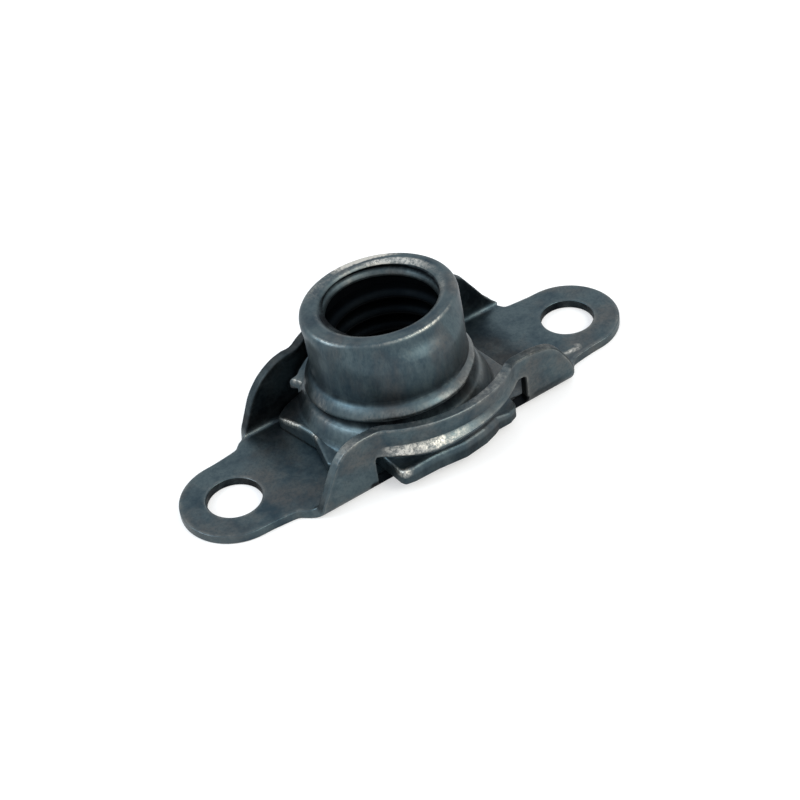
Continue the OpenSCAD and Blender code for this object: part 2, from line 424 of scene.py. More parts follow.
def triangulate(press, loops, outs):
    """The flat blank's points, its triangles, and the numbers of the points along each edge."""
    edge = press.sizes.edge_radius
    rims = [loop - out * edge for loop, out in zip(loops, outs)]
    rings = [loop - out * (edge + inset) for loop, out in zip(loops, outs) for inset in RING_INSETS]
    grid = blank_grid(press, loops, edge + RING_INSETS[-1] + GRID_GAP)
    starts = np.cumsum([0] + [len(rim) for rim in rims]).tolist()
    edges = [(start + i, start + (i + 1) % len(rim))
             for start, rim in zip(starts, rims) for i in range(len(rim))]
    given = [tuple(p) for p in np.vstack(rims + rings + [grid])]
    points, _, faces, sources, _, _ = delaunay_2d_cdt(given, edges, [], 0, 1e-6)
    points = np.array([tuple(p) for p in points])
    faces = np.array(faces)
    limits = [loop - out * (edge - 1e-4) for loop, out in zip(loops, outs)]
    faces = faces[on_sheet(limits, points[faces].mean(1))]
    a, b, c = (points[faces[:, k]] for k in range(3))
    turned = np.cross(b - a, c - a) < 0
    faces[turned] = faces[turned][:, ::-1]
    number = {old: new for new, olds in enumerate(sources) for old in olds}
    runs = [[number[start + i] for i in range(len(rim))] for start, rim in zip(starts, rims)]
    return points, faces, runs


def edge_directions(loop, hole):
    """Unit directions that point away from the sheet at each point of its outline or hole."""
    run = unit(np.roll(loop, -1, 0) - np.roll(loop, 1, 0))
    out = np.column_stack([run[:, 1], -run[:, 0]]) * np.sign(signed_area(loop))
    return -out if hole else out


def build_cage(sizes, material):
    """The pressed sheet: blank triangulated, bent, given its thickness and rounded edges."""
    press = Pressing(sizes)
    loops = cage_blank(press)
    outs = [edge_directions(loop, k > 0) for k, loop in enumerate(loops)]
    flat, triangles, runs = triangulate(press, loops, outs)
    half, radius, count = sizes.sheet / 2, sizes.edge_radius, len(flat)
    middle = press.middle(*flat.T)
    normal = press.outer_normal(*flat.T)
    past_edge = nearest(flat, np.vstack(loops)) - radius
    wear = np.clip(1 - past_edge / EDGE_WEAR_REACH, 0, 1) * EDGE_WEAR
    # The outer face, then the inner one
    points = [middle + normal * half, middle - normal * half]
    normals = [normal, -normal]
    # The outer face also takes the painted highlight on the near band's turned lip
    wears = [wear + lip_highlight(sizes, middle), wear]
    faces = triangles[:, ::-1].tolist() + (triangles + count).tolist()
    # Angles round a cut edge from the outer face to the inner one, each with its side of the sheet
    turns = [(math.pi / 2 * (1 - k / EDGE_STEPS), 1) for k in range(1, EDGE_STEPS + 1)]
    turns += [(-math.pi / 2 * k / EDGE_STEPS, -1) for k in range(EDGE_STEPS)]
    total = 2 * count
    for number, (loop, out, run) in enumerate(zip(loops, outs, runs)):
        at = (loop - out * radius).T
        mid, up, side = press.middle(*at), press.outer_normal(*at), press.tangent(*at, out)
        # Painted glint along the near band's top edge and painted highlight on the lip's rounded edge, over a
        # light rub on every cut edge
        near_top_glint = 0.18 * (mid[:, 2] > 3.6) * (mid[:, 1] < 0)
        rows = [run]
        for angle, facing in turns:
            lift = facing * (half - radius) + radius * math.sin(angle)
            points.append(mid + side * radius * math.cos(angle) + up * lift)
            normals.append(side * math.cos(angle) + up * math.sin(angle))
            wears.append(near_top_glint + 0.6 * lip_highlight(sizes, mid) * (angle > 0) + 0.05)
            rows.append(range(total, total + len(loop)))
            total += len(loop)
        rows.append([i + count for i in run])
        faces += bridge(rows, (signed_area(loop) > 0) == (number > 0))
    points = np.vstack(points)
    x, y, z = np.abs(points.T)
    ledge = (x < LEDGE_END) & (y > press.flat) & (z < LEDGE_TOP)
    points[ledge, 2] = np.minimum(points[ledge, 2], sizes.sheet)
    rims = np.arange(total) >= 2 * count
    # Painted shade lies along the window feet, and wear and painted glints are left off there; the painted
    # glint along the pressed line lies on the faces only
    bare = window_foot_shade(press, points) == 0
    fields = {"wear": np.hstack(wears) * bare + crease_glint(points) * ~rims,
              "painted_shade": cage_painted_shade(press, points, count)}
    return make_piece("cage_pressing", points, faces, material, fields, np.vstack(normals))


def window_foot_shade(press, points):
    """Painted shade along the lower edges of the windows."""
    x, y, z = points.T
    return 0.9 * (np.abs(x) < 5.9) * (np.abs(y) > press.flat + 0.2) * (z < 0.9) * (z > 0.3)


def cage_painted_shade(press, points, count):
    """Painted shade on the cage, whose points are its outer face, its inner face, count each, and its edges:
    on the floor by the right neck, inside the far wall, on the near window's right edge, in the rivet holes
    and along the window feet.
    """
    sizes = press.sizes
    x, y, z = points.T
    order = np.arange(len(points))
    rims = order >= 2 * count
    right_neck_shade = 0.35 * smooth_step(5.6, 6.6, x) * smooth_step(9.4, 7.6, x) * (z < 1.0)
    far_inside_shade = np.where(rims, 0.45, 0.6 * (order >= count))
    far_inside_shade = far_inside_shade * (y > press.flat - 0.2) * smooth_step(0.63, 1.2, z)
    right_edge_shade = 0.4 * rims * (x > 4.5) * (y < 0) * (z > 1.0)
    from_rivet = np.hypot(np.abs(x) - sizes.rivet_pitch / 2, y)
    rivet_edge_shade = 0.6 * rims * (from_rivet < sizes.rivet_hole / 2 + 0.08) * (z < sizes.sheet - 0.05)
    return np.max([right_neck_shade, window_foot_shade(press, points), far_inside_shade, right_edge_shade, rivet_edge_shade], axis=0)


# Run of the pressed line on the right lug, along which a painted glint lies
CREASE = ((9.5, -2.2), (9.75, -2.5), (10.1, -2.72), (10.5, -2.85), (11.0, -2.85), (11.4, -2.75))


def crease_glint(points):
    """A painted glint, a light broken line, along the line pressed into the right lug, from its near neck
    towards the hole.
    """
    away = []
    for start, end in zip(CREASE[:-1], CREASE[1:]):
        run = np.subtract(end, start)
        along = np.clip(((points[:, :2] - start) @ run) / (run @ run), 0, 1)
        away.append(np.linalg.norm(points[:, :2] - start - along[:, None] * run, axis=1))
    return 1.2 * smooth_step(0.16, 0.04, np.min(away, axis=0)) * (points[:, 2] > 0.5) * (points[:, 2] < 0.7)


def lip_highlight(sizes, points):
    """Painted highlight on the near band's turned lip, where its upward slope catches the light."""
    x, y, z = points.T
    edge = sizes.window_top + 0.8 * sizes.lip_height
    run = smooth_step(-5.0, -3.9, x) * smooth_step(0.9, -2.6, x)
    return 1.5 * run * smooth_step(edge + 0.12, edge - 0.12, z) * (z > sizes.window_top - 0.3) * (y < 0)


# ---- the nut element --------------------------------------------------------

# Corners (x, y, rounding) of the flange about the thread's axis, each run anticlockwise
END_LEFT = [(-6.77, 3.19, 0.35), (-6.14, -0.1, 0.14), (-6.8, -2.6, 0.35)]
END_RIGHT = [(6.75, -3.1, 0.35), (6.12, 0.1, 0.14), (6.75, 3.1, 0.35)]
EAR_NEAR = [(-6.0, -3.25, 0.4), (-4.05, -3.5, 0.4), (-3.95, -6.1, 0.2), (-3.82, -6.42, 0.25),
            (-3.2, -6.56, 0.5), (-1.5, -6.62, 0.8), (0.4, -6.88, 0.9), (2.0, -6.7, 0.5),
            (2.85, -6.42, 0.3), (3.3, -6.2, 0.15), (4.2, -6.2, 0.3), (4.8, -5.95, 0.3),
            (5.08, -5.5, 0.3), (5.08, -3.6, 0.4), (6.0, -3.3, 0.4)]
EAR_FAR = [(6.0, 3.3, 0.4), (5.1, 3.6, 0.4), (5.05, 5.6, 0.3), (4.75, 6.05, 0.3), (4.1, 6.35, 0.3),
           (3.0, 6.5, 0.5), (1.6, 6.75, 0.8), (0.2, 6.9, 0.9), (-1.5, 6.75, 0.8), (-3.6, 6.7, 0.4),
           (-4.35, 6.55, 0.25), (-4.52, 6.15, 0.2), (-4.05, 4.6, 0.4), (-4.2, 3.9, 0.3), (-6.0, 3.6, 0.4)]
FLANGE = END_RIGHT[1:] + EAR_FAR + END_LEFT + EAR_NEAR + END_RIGHT[:1]

# The sloping facets on the flange's corners: side along, side across, height at the tip, and share of the
# way from tip to notch over which it reaches the level face
FACETS = ((1, 1, 0.7, 1), (1, -1, 0.7, 1), (-1, 1, 0.85, 0.6), (-1, -1, 0.85, 1))
FACET_TURN = math.radians(31.5)
NOTCH = 6.1  # place along of the notch in each end
FACET_TIP = (0.65, 2.8)  # a facet's tip, along and across from the notch

SQUEEZE_HEIGHTS = (6.5, 7.75)  # where the squeeze of the rim comes in
# The squeezed rim's growth along the cage and across it, and its shift along and across. Each has its value
# at the bore and its change out to the barrel's face
SQUEEZE = ((0.29, -0.1), (-0.2, -0.28), (0.14, -0.08), (0.28, -0.06))
BORE_TOP = 7.95  # height under which the bore's wall stays round
BEVEL_EXTRA = (0.24, 15, 75)  # how much wider the bevel is at the right, its direction and spread in degrees
SHOULDER_CUT = (0.24, -15, 75)  # how much narrower the shoulder is there
SHOULDER_HEIGHTS = (2.4, 4)  # heights between which the shoulder stands
LEAN, LEAN_FOOT = 0.03, 1.2  # lean of the barrel across the cage, for each millimetre above its foot
LEAN_ALONG = -0.5  # share of the lean that goes along the cage
LEAN_BORE = 0.4  # share that the bore takes

# How far the shoulder stands above its level place, and how much it slopes up towards the near right
LIFT_HEIGHTS = (1.2, 1.9, 2.45, 3.0, 4.1, 5.5)
LIFT = (0, 0.3, 0.25, 0.2, 0.0, 0)
SLOPE = (0, 0.2, 0.5, 0.55, 0.1, 0)
SLOPE_TOWARDS = math.radians(290)

BORE_FOOT = ((4.2, 0.02), (4.15, 0.08))  # radius and height of the bore's rounded foot
BORE_HEIGHTS = (0.3, 1.5, 3.5, 5.5)  # heights of the rings up its wall


def polar_radius(loop, angles):
    """Distance from the middle to the outline in each direction."""
    ax, ay = loop.T
    bx, by = np.roll(loop, -1, 0).T
    result = np.zeros(len(angles))
    for i, angle in enumerate(angles):
        dx, dy = math.cos(angle), math.sin(angle)
        det = dx * (ay - by) + dy * (bx - ax)
        det = np.where(np.abs(det) < 1e-12, 1e-12, det)
        reach = (ax * (ay - by) + ay * (bx - ax)) / det
        along = (dx * ay - dy * ax) / det
        result[i] = reach[(along >= -1e-9) & (along <= 1 + 1e-9) & (reach > 0)].max()
    return result


def flange_height(x, y, full):
    """Height of the flange's upper face: level, with a sloping facet at each corner of its ends."""
    height = np.full_like(x, full)
    reach = FACET_TIP[0] * math.cos(FACET_TURN) + FACET_TIP[1] * math.sin(FACET_TURN)
    for side_x, side_y, tip, run in FACETS:
        along = (side_x * x - NOTCH) * math.cos(FACET_TURN) + side_y * y * math.sin(FACET_TURN)
        plane = tip + (full - tip) * (reach - along) / (reach * run)
        height = -smooth_max(-height, -plane, 0.12)
    return height


def lobe(angles, centre, reach):
    """1 in the given direction (degrees), falling to 0 at reach degrees from it."""
    away = np.abs((np.degrees(angles) - centre + 180) % 360 - 180)
    return smooth_step(reach, 0, away)


def rim_rub_and_glint(angles):
    """How bright the rim's outer edge is painted round the barrel: a light rub all round, and a painted glint
    in front and at the left.
    """
    return 0.15 + 1.5 * lobe(angles, 272, 50) + 0.6 * lobe(angles, 195, 28)


def ear_rub_and_highlight(angles):
    """How bright the flange's upper edge is painted: a light rub all round, and painted highlights at the
    near ear's left corner and at the left end.
    """
    return (0.05 + 2.0 * lobe(angles, 239, 6) + 1.8 * lobe(angles, 163, 9) + 2.0 * lobe(angles, 182, 4)
            + 2.0 * lobe(angles, 128, 9))


def tilt_lift(z, angles):
    """How far the shoulder of the tilted nut stands above its level place."""
    slope = np.interp(z, LIFT_HEIGHTS, SLOPE)
    return np.interp(z, LIFT_HEIGHTS, LIFT) + slope * np.cos(angles - SLOPE_TOWARDS)


def barrel_profile(sizes):
    """Radius, height, wear with painted glints, painted shade and share of the wider bevel, from the bore
    over the rim to the collar.
    """
    barrel, mouth, root = sizes.barrel, sizes.mouth, sizes.thread_root
    # The third value of each row is mostly painted glint and highlight, on the rim's edge and bevel, the
    # shoulder, the collar and the thread's crests; the fourth is painted shade, in the bore, the groove, the
    # barrel's foot and under the collar
    bore = [
        (root, 6.8, 0, 1, 0), (root, 7.02, 0, 1, 0), (mouth + 0.1, 7.16, 0, 1, 0), (mouth, 7.24, 0.1, 0.6, 0),
        (mouth + 0.01, 7.36, 0.15, 0.5, 0), (mouth + 0.06, 7.5, 0.1, 0.5, 0), (mouth + 0.14, 7.6, 0, 0.7, 0),
        (mouth + 0.32, 7.68, 0, 1, 0), (mouth + 0.36, 7.8, 0, 1, 0), (mouth + 0.28, 7.88, 0, 1, 0),
        (mouth + 0.03, 7.93, 0, 0.9, 0), (mouth, 7.97, 0.05, 0.6, 0), (mouth + 0.03, 8.01, 0.15, 0.2, 0)]
    rim = [
        (mouth + 0.12, 8.09, 0.25, 0, 0.5), (mouth + 0.22, 8.16, 0.25, 0, 0.9),
        (mouth + 0.34, 8.19, 0.1, 0, 1), (mouth + 0.46, 8.2, 0.02, 0, 1),
        (barrel - 0.62, 8.2, 0.05, 0, 0.4), (barrel - 0.42, 8.2, 0.1, 0, 0),
        (barrel - 0.3, 8.18, 0.1, 0, 0), (barrel - 0.22, 8.14, 0.8, 0, 0), (barrel - 0.15, 8.09, 0.5, 0, 0),
        (barrel - 0.1, 8.02, 0.1, 0, 0), (barrel - 0.05, 7.94, 0, 0, 0), (barrel - 0.01, 7.76, 0, 0, 0)]
    face = [(barrel, z, 0, 0, 0) for z in (7.5, 7.2, 6.9, 6.6, 6.3, 5.9, 5.4, 4.8)]
    shoulder = [
        (barrel - 0.01, 4.35, 0, 0.12, 0), (barrel, 4.15, 0, 0.4, 0), (barrel + 0.06, 4.02, 0, 0.4, 0),
        (barrel + 0.17, 3.88, 0, 0, 0), (barrel + 0.32, 3.66, 0.1, 0, 0), (barrel + 0.45, 3.4, 0.15, 0, 0),
        (barrel + 0.54, 3.14, 0.2, 0, 0), (5.43, 2.97, 0.25, 0, 0), (5.41, 2.85, 0.1, 0, 0)]
    groove = [
        (5.34, 2.76, 0, 0.3, 0), (5.24, 2.71, 0, 0.5, 0), (5.17, 2.62, 0, 0.6, 0), (5.16, 2.45, 0, 0.6, 0),
        (5.18, 2.27, 0, 0.5, 0), (5.26, 2.13, 0, 0.3, 0)]
    collar = [
        (5.38, 2.04, 0.1, 0, 0), (5.5, 1.95, 0.15, 0, 0), (5.65, 1.76, 0.05, 0, 0), (5.8, 1.55, 0, 0, 0),
        (5.9, 1.38, 0, 0, 0), (5.97, 1.27, 0, 0.25, 0), (6.05, 1.22, 0, 0.25, 0)]
    return bore + rim + face + shoulder + groove + collar


class Rings:
    """Closed rings of points round the thread's axis, each point with its wear and painted glint, and its
    painted shade.
    """

    def __init__(self, angles):
        self.angles = angles
        self.cos, self.sin = np.cos(angles), np.sin(angles)
        self.rows, self.wears, self.painted_shades = [], [], []

    def add(self, radius, height, wear=0.0, painted_shade=0.0, across=None, shift=(0.0, 0.0)):
        """One more ring; across is its radius across the cage where that isn't the one along it."""
        flat = np.zeros(len(self.angles))
        x = radius * self.cos + shift[0]
        y = (radius if across is None else across) * self.sin + shift[1]
        self.rows.append(np.column_stack([x, y, height + flat]))
        self.wears.append(wear + flat)
        self.painted_shades.append(painted_shade + flat)

    def faces(self):
        """Quads that join each ring to the next, and the last to the first."""
        count = len(self.angles)
        rows = [range(i * count, (i + 1) * count) for i in range(len(self.rows))]
        return bridge(rows + rows[:1], True)


def barrel_marks(sizes, angles, r, z, wear, painted_shade):
    """Wear, painted highlights and painted shade round one ring of the barrel, from the values in its
    profile.
    """
    barrel, mouth = sizes.barrel, sizes.mouth
    if z > 8.1 and mouth + 0.3 < r < barrel - 0.25:
        # Painted highlight on the far part of the rim's top
        wear = wear + 4.0 * lobe(angles, 70, 34) * (r > barrel - 0.7) + 0.4 * lobe(angles, 115, 35)
    elif z > 8.0 and r < mouth + 0.3:
        # Painted highlight on the bevel at the right, painted shade on the near bevel
        wear = wear + 2.5 * lobe(angles, 40, 45)
        painted_shade = painted_shade + 0.25 * lobe(angles, 265, 90)
    elif z > 7.9 and r > barrel - 0.5:
        # Painted glint along the rim's outer edge
        wear = wear * rim_rub_and_glint(angles)
    # Less painted shade on the far side of the bore's mouth, so that its crest shows lighter
    if r < mouth + 0.15 and 7.2 < z < 7.65:
        painted_shade = painted_shade * (1 - 0.8 * lobe(angles, 85, 100))
    return wear, painted_shade


def turn_barrel(sizes, rings):
    """Adds the rings of the bore's mouth, squeezed rim, leaning barrel, shoulder and collar."""
    angles = rings.angles
    for r, z, wear, painted_shade, widen in barrel_profile(sizes):
        in_bore = r <= sizes.thread_root and z < BORE_TOP
        outer = np.clip((r - sizes.mouth) / (sizes.barrel - sizes.mouth), 0, 1)
        squeeze = smooth_step(*SQUEEZE_HEIGHTS, z)
        grow_x, grow_y, shift_x, shift_y = (squeeze * (value + change * outer) for value, change in SQUEEZE)
        extra, *bevel = BEVEL_EXTRA
        reach = r + extra * widen * lobe(angles, *bevel)
        if r > sizes.barrel + 0.1 and SHOULDER_HEIGHTS[0] < z < SHOULDER_HEIGHTS[1]:
            cut, *shoulder = SHOULDER_CUT
            reach = reach - cut * smooth_step(0, 0.6, lobe(angles, *shoulder))
        along, across = (reach, reach) if in_bore else (reach + grow_x, reach + grow_y)
        lean = LEAN * max(0, z - LEAN_FOOT) * (LEAN_BORE if in_bore else 1)
        shift = (shift_x + LEAN_ALONG * lean, shift_y + lean)
        height = z if r <= sizes.thread_root else z + tilt_lift(z, angles)
        rings.add(along, height, *barrel_marks(sizes, angles, r, z, wear, painted_shade), across, shift)


def form_flange(sizes, rings, out_r):
    """Adds the rings of the flange: its upper face, rounded edge, side and lower face."""
    angles = rings.angles
    inner, low, seat = 6.05, 0.1, 4.3
    edge = 0.14 + 0.1 * lobe(angles, 178, 45) + 0.24 * smooth_step(0, 0.5, lobe(angles, 270, 50))
    rim_r = out_r - edge

    def top(r):
        return flange_height(r * rings.cos, r * rings.sin, sizes.flange)

    for t in (0.12, 0.25, 0.38, 0.5, 0.62, 0.74, 0.85, 0.93, 1.0):
        r = inner + (np.maximum(rim_r, inner + 0.02) - inner) * t
        # Painted highlights on the flange's upper edge, at the near ear's corner, the left end and the far
        # left facet; painted shade near the collar
        wear = ear_rub_and_highlight(angles) * (0.5 if t == 1.0 else 0.0) + 0.9 * t * lobe(angles, 128, 8)
        rings.add(r, top(r), wear, 0.1 * (1 - t))
    for k in range(1, 5):
        a = math.pi / 2 * k / 4
        z = top(rim_r) - edge * (1 - math.cos(a))
        rings.add(rim_r + edge * math.sin(a), z, ear_rub_and_highlight(angles) * math.cos(a / 2))
    # Painted shade down the flange's side and lower rounding, most in front and at the near ear's left corner
    for t in (0.33, 0.66, 1.0):
        z = (top(rim_r) - edge) * (1 - t) + low * t
        rings.add(out_r, z, 0, 0.1 + 0.3 * lobe(angles, 280, 60) + 0.5 * lobe(angles, 229, 8))
    for k in range(1, 4):
        a = math.pi / 2 * k / 3
        rings.add(out_r - low * (1 - math.cos(a)), low * (1 - math.sin(a)), 0.1, 0.3)
    for t in (0.3, 0.6, 1.0):
        rings.add((out_r - low) * (1 - t) + seat * t, 0)


def build_nut(sizes, material):
    """The nut element as rings of points, from the bore's mouth over the rim and the flange to its foot."""
    outline = round_corners(FLANGE)
    bearing = np.degrees(np.arctan2(outline[:, 1], outline[:, 0]))
    angles = np.unique(np.round(np.r_[np.arange(0, 360, 0.75), bearing % 360], 3))
    rings = Rings(np.radians(angles[np.r_[True, np.diff(angles) > 0.1]]))
    turn_barrel(sizes, rings)
    form_flange(sizes, rings, polar_radius(outline, rings.angles))
    for r, z in BORE_FOOT:
        rings.add(r, z)
    # Painted shade all over the bore's wall
    for z in BORE_HEIGHTS:
        rings.add(sizes.thread_root, z, 0, 1)
    points = np.vstack(rings.rows) + (*sizes.centre, sizes.base)
    fields = {"wear": np.hstack(rings.wears), "painted_shade": np.hstack(rings.painted_shades)}
    return make_piece("nut_body", points, rings.faces(), material, fields)


# ---- node trees -------------------------------------------------------------


def feed(tree, socket, value):
    """Gives an input a plain value, or links it to another node's output."""
    if isinstance(value, bpy.types.NodeSocket):
        tree.links.new(value, socket)
    else:
        socket.default_value = value


def add_node(tree, kind, inputs=None, **settings):
    """A node with its settings, and its inputs fed by name or number."""
    node = tree.nodes.new(kind)
    for name, value in settings.items():
        setattr(node, name, value)
    for key, value in (inputs or {}).items():
        feed(tree, node.inputs[key], value)
    return node


def maths_in(tree):
    """A short way to put maths nodes into a tree."""
    def maths(operation, a, b):
        return add_node(tree, "ShaderNodeMath", {0: a, 1: b}, operation=operation).outputs[0]

    return maths


# ---- the thread -------------------------------------------------------------

RIDGE_RESOLUTION = 72  # points on one turn
RIDGE_ROOT, RIDGE_TIP = 0.46, 0.07  # half widths of the ridge, as shares of the pitch
RIDGE_SUNK = -0.02  # how deep its foot lies in the bore's wall, as a share of its depth
RIDGE_FADE = 22.0  # steepness of the run-out at its ends
RIDGE_LEAST = 0.02  # its size at the very ends
THREAD_START = 1.02  # height of the first turn above the nut's base, in millimetres
THREAD_ROOTING = 0.01  # how far the ridge's path lies behind the root, in millimetres


def thread_tree(material):
    """Geometry Nodes: a V ridge swept up a helix inside the bore."""
    tree = bpy.data.node_groups.new("thread_ridge", "GeometryNodeTree")
    face = tree.interface
    face.new_socket("Geometry", in_out="INPUT", socket_type="NodeSocketGeometry")
    for name, value in (("Root radius", 4.0 * MM), ("Depth", 0.6 * MM), ("Pitch", 1.25 * MM), ("Turns", 6.0),
                        ("Start height", 1.0 * MM)):
        face.new_socket(name, in_out="INPUT", socket_type="NodeSocketFloat").default_value = value
    face.new_socket("Centre", in_out="INPUT", socket_type="NodeSocketVector")
    face.new_socket("Geometry", in_out="OUTPUT", socket_type="NodeSocketGeometry")
    maths = maths_in(tree)
    given = tree.nodes.new("NodeGroupInput").outputs
    radius, turns, pitch = given["Root radius"], given["Turns"], given["Pitch"]
    spiral = add_node(tree, "GeometryNodeCurveSpiral", {
        "Resolution": RIDGE_RESOLUTION, "Rotations": turns, "Start Radius": radius, "End Radius": radius,
        "Height": maths("MULTIPLY", turns, pitch), "Reverse": False})
    start = add_node(tree, "ShaderNodeCombineXYZ", {"Z": given["Start height"]})
    foot = add_node(tree, "ShaderNodeVectorMath", {0: start.outputs[0], 1: given["Centre"]}, operation="ADD")
    placed = add_node(tree, "GeometryNodeTransform", {
        "Geometry": spiral.outputs[0], "Translation": foot.outputs[0]})
    upright = add_node(tree, "GeometryNodeSetCurveNormal", {"Curve": placed.outputs[0]}, mode="Z_UP")
    along = tree.nodes.new("GeometryNodeSplineParameter").outputs["Factor"]
    from_end = maths("MINIMUM", along, maths("SUBTRACT", 1.0, along))
    fade = maths("MAXIMUM", maths("MINIMUM", maths("MULTIPLY", from_end, RIDGE_FADE), 1.0), RIDGE_LEAST)
    ridge = tree.nodes.new("GeometryNodeCurvePrimitiveQuadrilateral")
    ridge.mode = "POINTS"
    root = maths("MULTIPLY", pitch, RIDGE_ROOT)
    tip = maths("MULTIPLY", pitch, RIDGE_TIP)
    corners = ((maths("MULTIPLY", root, -1.0), RIDGE_SUNK), (root, RIDGE_SUNK),
               (tip, 1.0), (maths("MULTIPLY", tip, -1.0), 1.0))
    for number, (height, reach) in enumerate(corners, 1):
        depth = maths("MULTIPLY", given["Depth"], reach)
        corner = add_node(tree, "ShaderNodeCombineXYZ", {"X": depth, "Y": height})
        feed(tree, ridge.inputs[f"Point {number}"], corner.outputs[0])
    sweep = add_node(tree, "GeometryNodeCurveToMesh", {
        "Curve": upright.outputs[0], "Profile Curve": ridge.outputs[0], "Scale": fade, "Fill Caps": True})
    real = add_node(tree, "GeometryNodeRealizeInstances", {0: sweep.outputs[0]})
    paint = add_node(tree, "GeometryNodeSetMaterial", {"Geometry": real.outputs[0], "Material": material})
    feed(tree, tree.nodes.new("NodeGroupOutput").inputs[0], paint.outputs[0])
    return tree


def build_thread(sizes, material):
    """The thread, swept by its Geometry Nodes tree and kept as a plain mesh."""
    tree = thread_tree(material)
    carrier = bpy.data.objects.new("thread_carrier", bpy.data.meshes.new("thread_carrier"))
    bpy.context.scene.collection.objects.link(carrier)
    modifier = carrier.modifiers.new("thread", "NODES")
    modifier.node_group = tree
    values = {
        "Root radius": (sizes.thread_root + THREAD_ROOTING) * MM,
        "Depth": (sizes.thread_root - sizes.thread_crest) * MM,
        "Pitch": sizes.thread_pitch * MM,
        "Turns": sizes.thread_turns,
        "Start height": (sizes.base + THREAD_START) * MM,
        "Centre": (sizes.centre[0] * MM, sizes.centre[1] * MM, 0.0),
    }
    for item in tree.interface.items_tree:
        if item.name in values:
            modifier[item.identifier] = values[item.name]
    bpy.context.view_layer.update()
    evaluated = carrier.evaluated_get(bpy.context.evaluated_depsgraph_get())
    mesh = bpy.data.meshes.new_from_object(evaluated)
    mesh.name = "nut_thread"
    bpy.data.objects.remove(carrier)
    piece = bpy.data.objects.new("nut_thread", mesh)
    bpy.context.scene.collection.objects.link(piece)
    return piece


# ---- finishes ---------------------------------------------------------------

PAINTED_SHADE_COLOUR = (0.0025, 0.0035, 0.005, 1)  # painted shade: near-black colour laid into corners, recesses and the bore
MOST_PAINTED_SHADE = 0.96  # share of a surface that painted shade covers at most
BROAD_SCALE, FINE_SCALE = 230.0, 1500.0  # noise scales of the brownish patches and of the finest grain
RELIEF = 0.00002  # height of the coating's relief, in metres


def coating_group():
    """Shader group: mottled phosphate colour, its roughness and its fine height; rubbed edges with painted
    glints go to the worn colour, and painted shade to a near-black colour.
    """
    group = bpy.data.node_groups.new("phosphate_coat", "ShaderNodeTree")
    face = group.interface
    for label in ("Base", "Dark", "Warm", "Worn and glint"):
        face.new_socket(label, in_out="INPUT", socket_type="NodeSocketColor")
    for label, value in (("Wear and glint", 0.0), ("Painted shade", 0.0), ("Patch scale", 260.0), ("Grain scale", 5200.0)):
        face.new_socket(label, in_out="INPUT", socket_type="NodeSocketFloat").default_value = value
    face.new_socket("Stretch", in_out="INPUT", socket_type="NodeSocketVector").default_value = (1, 1, 1)
    face.new_socket("Colour", in_out="OUTPUT", socket_type="NodeSocketColor")
    for label in ("Roughness", "Height"):
        face.new_socket(label, in_out="OUTPUT", socket_type="NodeSocketFloat")
    maths = maths_in(group)
    given = group.nodes.new("NodeGroupInput").outputs
    place = group.nodes.new("ShaderNodeTexCoord").outputs["Object"]
    drawn = add_node(group, "ShaderNodeVectorMath", {0: place, 1: given["Stretch"]}, operation="MULTIPLY")

    def noise(scale, detail, rough):
        return add_node(group, "ShaderNodeTexNoise", {
            "Vector": drawn.outputs[0], "Scale": scale, "Detail": detail, "Roughness": rough}).outputs["Fac"]

    def ramp(value, low, high):
        return add_node(group, "ShaderNodeMapRange", {
            "Value": value, "From Min": low, "From Max": high}).outputs["Result"]

    def blend(factor, a, b):
        node = group.nodes.new("ShaderNodeMix")
        node.data_type = "RGBA"
        for label, value in (("Factor", factor), ("A", a), ("B", b)):
            feed(group, node.inputs[label], value)
        return node.outputs["Result"]

    patches = noise(given["Patch scale"], 5.0, 0.68)
    broad = noise(BROAD_SCALE, 4.0, 0.65)
    grain = noise(given["Grain scale"], 3.0, 0.75)
    fine = noise(FINE_SCALE, 3.0, 0.65)
    colour = blend(ramp(patches, 0.42, 0.62), given["Base"], given["Dark"])
    colour = blend(maths("MULTIPLY", ramp(broad, 0.48, 0.66), 0.65), colour, given["Warm"])
    colour = blend(maths("MULTIPLY", ramp(grain, 0.45, 0.65), 0.45), colour, given["Dark"])
    # Rubbed edges, painted glints and painted highlights, broken up by noise, go to the worn colour
    rub_and_glint = maths("MULTIPLY", given["Wear and glint"], maths("ADD", ramp(fine, 0.3, 0.62), 0.15))
    rub_and_glint = maths("MULTIPLY", rub_and_glint, ramp(broad, 0.32, 0.6))
    rub_and_glint = maths("MULTIPLY", rub_and_glint, maths("ADD", ramp(grain, 0.4, 0.6), 0.3))
    rub_and_glint = maths("MINIMUM", rub_and_glint, 1.0)
    colour = blend(rub_and_glint, colour, given["Worn and glint"])
    # Painted shade: a patchy near-black colour
    painted_shade_colour = group.nodes.new("ShaderNodeRGB").outputs[0]
    painted_shade_colour.default_value = PAINTED_SHADE_COLOUR
    painted_shade = maths("MULTIPLY", given["Painted shade"], maths("ADD", ramp(patches, 0.2, 0.6), 0.5))
    painted_shade = maths("MINIMUM", painted_shade, MOST_PAINTED_SHADE)
    rough = maths("ADD", maths("ADD", 0.30, maths("MULTIPLY", fine, 0.22)), maths("MULTIPLY", painted_shade, 0.25))
    height = maths("ADD", maths("MULTIPLY", grain, 0.5), maths("MULTIPLY", fine, 0.5))
    height = maths("ADD", height, maths("MULTIPLY", rub_and_glint, fine))
    height = maths("ADD", height, maths("MULTIPLY", patches, 2.5))
    add_node(group, "NodeGroupOutput", {
        "Colour": blend(painted_shade, colour, painted_shade_colour), "Height": height,
        "Roughness": maths("SUBTRACT", rough, maths("MULTIPLY", rub_and_glint, 0.08))})
    return group


